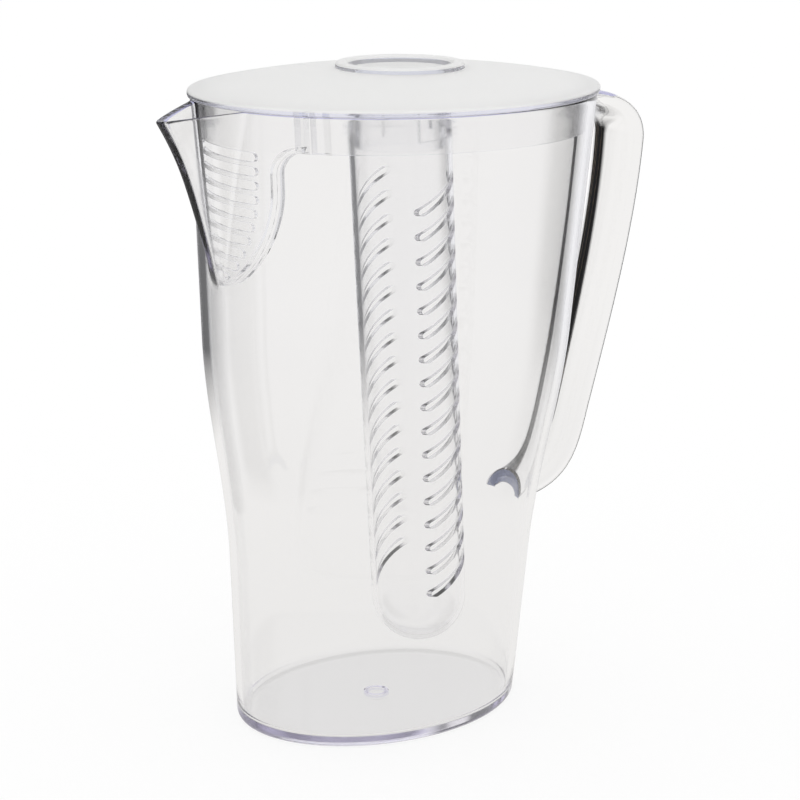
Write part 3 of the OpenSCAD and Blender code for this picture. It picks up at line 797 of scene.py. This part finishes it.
def makeCentre():
    s = lidSizes
    outer, dish = s["ringDiameter"] / 2, s["dishDiameter"] / 2
    under = dishFloor - s["domeWall"]
    bottom = jugSizes["rimHeight"] - s["collarDepth"]
    hole, softer = collarRadius - s["collarWall"], s["ringRound"]
    # each corner of the profile is its radius, its height and its rounding
    corners = [(0, under, 0), (hole, under, s["joinRound"]), (hole, bottom, s["holeRound"]),
               (collarRadius, bottom, s["collarRound"]), (collarRadius, under, s["joinRound"]),
               (dish + softer / 2, under, s["underRound"]),
               (outer, domeTop - s["domeWall"], 0), (outer, ringTop, softer),
               (dish + softer / 4, ringTop, softer * 0.7),
               (dish - softer / 2, dishFloor, softer * 1.2), (0, dishFloor, 0)]
    profile = bendCorners([(r, z) for r, z, _ in corners], [c[2] for c in corners])
    centre = turnProfile("centre", profile, s["roundSteps"], frostedLid)
    return turnShape(centre, Matrix.Translation((tubeSizes["x"] * mm, 0, 0)))


def wallFollower(name, inset, low, high):
    inside = jugSizes["wall"] + lidSizes["skirtGap"] + inset
    levels = np.linspace(low, high, lidSizes["followSteps"])
    return stackRings(name, [ovalRing(z, inside) for z in levels])


def makeApron(name, near, far):
    high = jugSizes["rimHeight"]
    return combine(wallFollower(name, near, tongueBottom - overcut, high + lidSizes["apronHigh"]),
                   wallFollower("inside", far, tongueBottom - 2 * overcut, high + 3 * overcut),
                   "DIFFERENCE")


def tongueEdge(inset, wide, top):
    # the tongue's outline as [y, z], moved inwards by inset, up to the given height
    s = lidSizes
    half = s["tongueWidth"] / 2
    points = [(half + s["shoulder"], top)] if wide else []
    points += [(half + s["shoulder"] * (1 - math.sin(a)), skirtBottom - s["shoulder"] * (1 - math.cos(a)))
               for a in np.radians(np.linspace(0, 90, s["shoulderSteps"]))]
    spans = np.concatenate([np.linspace(0, s["tipFrom"], s["curveSteps"]),
                            np.linspace(s["tipFrom"], 1, s["tipSteps"])[1:]])
    curve = s["tongueCurve"]
    points += [(half * max(0, 1 - t ** curve) ** (1 / curve), lerp(tongueRound, tongueBottom, t))
               for t in spans]
    right = np.array(points)
    both = np.concatenate([right, (right * [-1, 1])[::-1][1:]])
    way = np.gradient(both, axis=0)
    normal = np.stack([way[:, 1], -way[:, 0]], 1) / np.linalg.norm(way, axis=1)[:, None]
    return both - normal * inset * (-1 if normal[len(both) // 2][1] > 0 else 1)


def makeTongue():
    s, rim = lidSizes, jugSizes["rimHeight"]
    apron = makeApron("tongue", s["sink"], s["skirtWall"] - s["sink"])
    outline = tongueEdge(0, False, 0)
    wide, high = s["tongueWidth"] / 2 + s["shoulder"], skirtBottom + s["tongueRise"]
    outline = np.concatenate([[[wide, high]], outline, [[-wide, high]]])
    combine(apron, prismAlong("area", outline, -rim, -s["tongueEnd"], "X"), "INTERSECT")
    return combine(apron, makePourSlots(), "DIFFERENCE")


def makePourTree():
    # splits a round pin at its middle and pulls the halves apart, wider where the tongue is wider
    graph, given = newShapeTree("pourSlots", [
        ("Count", "Int", 10), ("Pitch", "Float", 0.005), ("First Height", "Float", 0.23),
        ("Pin", "Float", 0.0036), ("Half Width", "Float", 0.029), ("Round From", "Float", 0.22),
        ("Round To", "Float", 0.18), ("Curve", "Float", 1.8), ("Follow", "Float", 0.87),
        ("Margin", "Float", 0.003), ("Paint", "Material", None)])
    number = graph.add("GeometryNodeInputIndex")
    height = given["First Height"] - number * given["Pitch"]
    share = ((given["Round From"] - height) / (given["Round From"] - given["Round To"])).clamped()
    half = given["Half Width"] * (1 - share ** given["Curve"]) ** (1 / given["Curve"])
    reach = (half * given["Follow"] - given["Margin"]).sums("MAXIMUM", given["Pin"]) - given["Pin"] / 2
    spots = graph.add("GeometryNodeMeshLine", values={
        "Count": given["Count"],
        "Start Location": graph.add("ShaderNodeCombineXYZ", values={"Z": given["First Height"]}),
        "Offset": graph.add("ShaderNodeCombineXYZ", values={"Z": given["Pitch"] * -1.0})})
    kept = graph.add("GeometryNodeStoreNamedAttribute", {"data_type": "FLOAT", "domain": "POINT"}, {
        "Geometry": spots, "Name": "reach", "Value": reach})
    pins = graph.add("GeometryNodeInstanceOnPoints", values={"Points": kept, "Instance": given["Geometry"]})
    real = graph.add("GeometryNodeRealizeInstances", values={0: pins})
    width = graph.add("GeometryNodeInputNamedAttribute", {"data_type": "FLOAT"}, {"Name": "reach"})
    side = splitAxes(graph, graph.add("GeometryNodeInputPosition")).out("Y").only("SIGN")
    pulled = graph.add("GeometryNodeSetPosition", values={
        "Geometry": real, "Offset": graph.add("ShaderNodeCombineXYZ", values={"Y": side * width})})
    closeShapeTree(graph, pulled, given["Paint"])
    return graph.tree


def makePourSlots():
    s, p = lidSizes, pourSizes
    outline = roundSlot(p["pinHalf"], p["height"], p["pinSteps"])
    pin = prismAlong("pourSlots", outline, -p["pinLength"], 0, "X")
    return runShapeTree(pin, makePourTree(), {
        "Count": p["slots"], "Pitch": p["pitch"] * mm,
        "First Height": (jugSizes["rimHeight"] - p["first"]) * mm,
        "Pin": p["height"] * mm, "Half Width": s["tongueWidth"] / 2 * mm, "Round From": tongueRound * mm,
        "Round To": tongueBottom * mm, "Curve": s["tongueCurve"], "Follow": p["follow"],
        "Margin": p["margin"] * mm, "Paint": frostedLid})


def makeBead():
    s, rim = lidSizes, jugSizes["rimHeight"]
    bead = makeApron("bead", s["skirtWall"] / 2, s["beadHeight"])
    high, end = rim + s["beadTop"], -s["sideEnd"]
    outside = tongueEdge(s["edgeSink"], True, high)
    inside = tongueEdge(s["edgeSink"] + s["beadWidth"], True, high + s["beadWidth"])
    combine(bead, prismAlong("area", outside, -rim, end, "X"), "INTERSECT")
    return combine(bead, prismAlong("area", inside, -rim - overcut, end + overcut, "X"), "DIFFERENCE")


def makeRib(side):
    s = lidSizes
    rib = makeApron("rib", s["skirtWall"] / 2, s["skirtWall"] + s["ribHeight"])
    y, w, low = side * s["ribOffset"], s["ribWidth"] / 2, skirtBottom + s["edgeSink"]
    high = low + s["skirtDepth"] + overcut
    area = [(y - w, low), (y + w, low), (y + w, high), (y - w, high)]
    block = prismAlong("area", area, -jugSizes["rimHeight"], -s["sideEnd"], "X")
    return combine(rib, block, "INTERSECT")


def makeLug(turn):
    s, t = lidSizes, tubeSizes
    near, far = collarRadius - s["collarWall"] / 2, t["topDiameter"] / 2 + t["lugReach"]
    w, h = t["lugWidth"] / 2, t["lugHeight"] / 2
    lug = prismAlong("lug", [(near, -w), (far, -w), (far, w), (near, w)], lugZ - h, lugZ + h, "Z")
    toTube = Matrix.Translation((t["x"] * mm, 0, 0))
    return turnShape(lug, toTube @ Matrix.Rotation(math.radians(turn), 4, "Z"))


def makeWell():
    # clears the dome where the ring and the dished centre go
    s = lidSizes
    radius = s["ringDiameter"] / 2 - s["wellGap"]
    low, high = jugSizes["rimHeight"] + s["wellFrom"], ringTop + s["wellOver"]
    profile = [(0, low), (radius, low), (radius, high), (0, high)]
    well = turnProfile("well", profile, s["roundSteps"], frostedLid)
    return turnShape(well, Matrix.Translation((tubeSizes["x"] * mm, 0, 0)))


def makeSkirt():
    s, rim = lidSizes, jugSizes["rimHeight"]
    return combine(wallFollower("skirt", 0, skirtBottom, rim + s["joinHigh"]),
                   wallFollower("inside", s["skirtWall"], skirtBottom - overcut, rim + 2 * overcut),
                   "DIFFERENCE")


lid = combine(makeDome(), makeWell(), "DIFFERENCE")
for part in (makeCentre(), makeSkirt(), makeTongue(), makeBead(), makeRib(-1), makeRib(1),
             makeLug(tubeSizes["lugTurn"]), makeLug(tubeSizes["lugTurn"] + 180)):
    combine(lid, part, "UNION")
lid.name = "strainerLid"
shadeSoft(lid, lidSizes["softAngle"])
print("lid made", len(lid.data.polygons))

for piece, body, node, paint in ((jug, "jug", "jug", clearJug), (lid, "lid", "lid", frostedLid),
                                 (tube, "infuser_tube", "infuser_tube", clearTube)):
    piece.data.materials.clear()
    piece.data.materials.append(paint)
    for face in piece.data.polygons:
        face.material_index = 0
    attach(piece, body)
    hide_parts(node)


# floor, light and camera

stageSettings = dict(
    floorSize=14.0, floorShade=0.16, floorColour=0.9, through=(0.915, 0.905, 0.89), fill=0.95,
    facing=58.0,  # degrees from +X to the backdrop
    lowShade=0.07, lowFrom=0.10, lowTo=0.70,  # the table seen low through the jug is a little darker
    footScale=(16.7, 21.5, 0.0), footEnd=1.08, footEdge=6.0, footShade=0.13,  # its own shade under the jug
    whiteLift=0.03, drop=0.0003, near=0.35, far=0.60, ceiling=0.9, ceilingFrom=0.55, ceilingTo=0.8,
    # what reflections see around the table, by degrees to the right of the backdrop
    room=((-180, 0.75), (-120, 0.75), (-80, 0.66), (-60, 0.20), (-17, 0.12), (-12, 0.88),
          (42, 0.90), (50, 0.05), (74, 0.05), (84, 0.75), (180, 0.75)), roomBlue=1.02)


def studio(graph, place, s):
    # what mirrored light meets in the direction of place: a pale room with two darker screens
    turn = math.radians(s["facing"])
    parts = splitAxes(graph, place)
    back = parts.out("X") * math.cos(turn) + parts.out("Y") * math.sin(turn)
    right = parts.out("X") * math.sin(turn) - parts.out("Y") * math.cos(turn)
    angle = right.sums("ARCTAN2", back) / (2 * math.pi) + 0.5
    stops = [((a + 180) / 360, (v, v, v * s["roomBlue"], 1)) for a, v in s["room"]]
    return graph.add("ShaderNodeValToRGB", {"stops": stops}, {"Fac": angle})


def backdropFor(graph, room, s):
    # white for the camera, pale straight through the plastic, and the room for what is mirrored
    light = graph.add("ShaderNodeLightPath")
    direct = light.out("Is Camera Ray")
    seen = (direct + light.out("Is Glossy Ray") + light.out("Is Transmission Ray")).clamped()
    other = blend(graph, light.out("Glossy Depth") > 0.5, s["through"], room)
    return direct, seen, blend(graph, direct, other, (1, 1, 1))


def lengthOf(graph, vector):
    return graph.add("ShaderNodeVectorMath", {"operation": "LENGTH"}, {0: vector}, out="Value")


def makeFloor(s):
    half = s["floorSize"] / 2
    mesh = bpy.data.meshes.new("floor")
    corners = [(x * half, y * half, -s["drop"]) for x, y in ((-1, -1), (1, -1), (1, 1), (-1, 1))]
    mesh.from_pydata(corners, [], [(0, 1, 2, 3)])
    floor = bpy.data.objects.new("floor", mesh)
    bpy.context.scene.collection.objects.link(floor)
    paint, graph = newPaint("paleFloor")
    place = graph.add("ShaderNodeTexCoord", out="Object")
    away = lengthOf(graph, place)
    reach = ((away - s["near"]) / (s["far"] - s["near"])).clamped()
    direct, seen, view = backdropFor(graph, blend(graph, reach, s["through"], studio(graph, place, s)), s)
    foot = graph.add("ShaderNodeVectorMath", {"operation": "MULTIPLY"}, {0: place, 1: s["footScale"]})
    under = ((s["footEnd"] - lengthOf(graph, foot)) * s["footEdge"]).clamped()
    low = 1 - ((away - s["lowFrom"]) / (s["lowTo"] - s["lowFrom"])).clamped()
    dim = 1 - (under * s["footShade"] + low * s["lowShade"]) * (1 - direct)
    shine = graph.add("ShaderNodeEmission", values={"Color": view, "Strength": dim + direct * s["whiteLift"]})
    shade = graph.add("ShaderNodeBsdfDiffuse", values={"Color": (*(s["floorColour"],) * 3, 1)})
    bright = seen * (1 - s["floorShade"] * direct)
    mixed = graph.add("ShaderNodeMixShader", values={0: bright, 1: shade, 2: shine})
    graph.add("ShaderNodeOutputMaterial", values={"Surface": mixed})
    floor.data.materials.append(paint)


def makeWorld(s):
    world = bpy.data.worlds.new("studio")
    bpy.context.scene.world = world
    world.use_nodes = True
    world.node_tree.nodes.clear()
    graph = Graph(world.node_tree)
    place = graph.add("ShaderNodeTexCoord", out="Generated")
    up = splitAxes(graph, place).out("Z")
    high = ((up - s["ceilingFrom"]) / (s["ceilingTo"] - s["ceilingFrom"])).clamped()
    room = blend(graph, high, studio(graph, place, s), (s["ceiling"],) * 3)
    _, seen, view = backdropFor(graph, room, s)
    sky = graph.add("ShaderNodeBackground", values={
        "Color": blend(graph, seen, (s["fill"],) * 3, view), "Strength": 1.0})
    graph.add("ShaderNodeOutputWorld", values={"Surface": sky})


makeFloor(stageSettings)
makeWorld(stageSettings)
print("stage ready")

cameraSettings = dict(
    place=(-0.4363, -0.7180, 0.3606), target=(0.00967, -0.0031, 0.12692), lens=98.44, sensor=36.0,
    near=0.01, far=50.0)
camera = bpy.data.objects.new("camera", bpy.data.cameras.new("camera"))
bpy.context.scene.collection.objects.link(camera)
camera.data.sensor_width, camera.data.lens = cameraSettings["sensor"], cameraSettings["lens"]
camera.data.clip_start, camera.data.clip_end = cameraSettings["near"], cameraSettings["far"]
camera.location = cameraSettings["place"]
gaze = Vector(cameraSettings["target"]) - camera.location
camera.rotation_euler = gaze.to_track_quat("-Z", "Y").to_euler()
bpy.context.scene.camera = camera
bpy.context.scene.view_settings.view_transform = "Standard"

# light takes many turns inside clear walls
cycles = bpy.context.scene.cycles
cycles.max_bounces = 40
cycles.transmission_bounces = 40
cycles.glossy_bounces = 24
cycles.diffuse_bounces = 12
